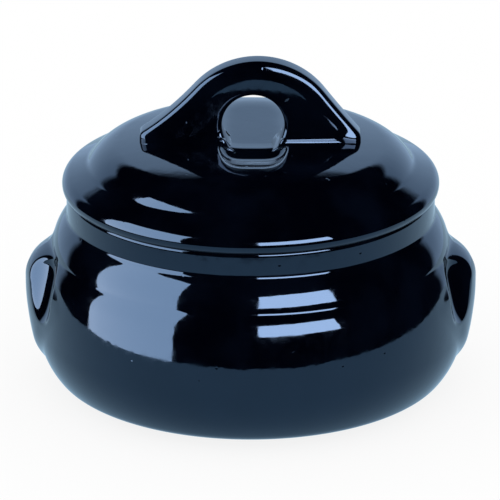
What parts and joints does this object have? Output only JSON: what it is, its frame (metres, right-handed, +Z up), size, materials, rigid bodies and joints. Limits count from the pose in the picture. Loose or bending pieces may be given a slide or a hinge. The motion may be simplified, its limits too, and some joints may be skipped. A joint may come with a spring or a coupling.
{
  "type": "lidded bean pot",
  "caption": "Squat round stoneware pot with a bellied wall, scooped side lugs and a loose domed lid with a pierced arch grip.",
  "frame": {"origin": "centre of the foot ring, on the surface that the pot stands on", "axes": "+Z up through the lid; the side lugs lie along +X and -X; -Y is the front"},
  "size_m": [0.2266, 0.214, 0.1693],
  "materials": {
    "midnight_glaze": "glossy dark midnight-blue glaze"
  },
  "bodies": {
    "pot": {"pot": "midnight_glaze"},
    "lid": {"lid": "midnight_glaze"}
  },
  "joints": [
    {"name": "lid_lift", "type": "slide", "parent": "pot", "child": "lid", "axis": [0, 0, 1], "range_m": [0, 0.12]}
  ]
}
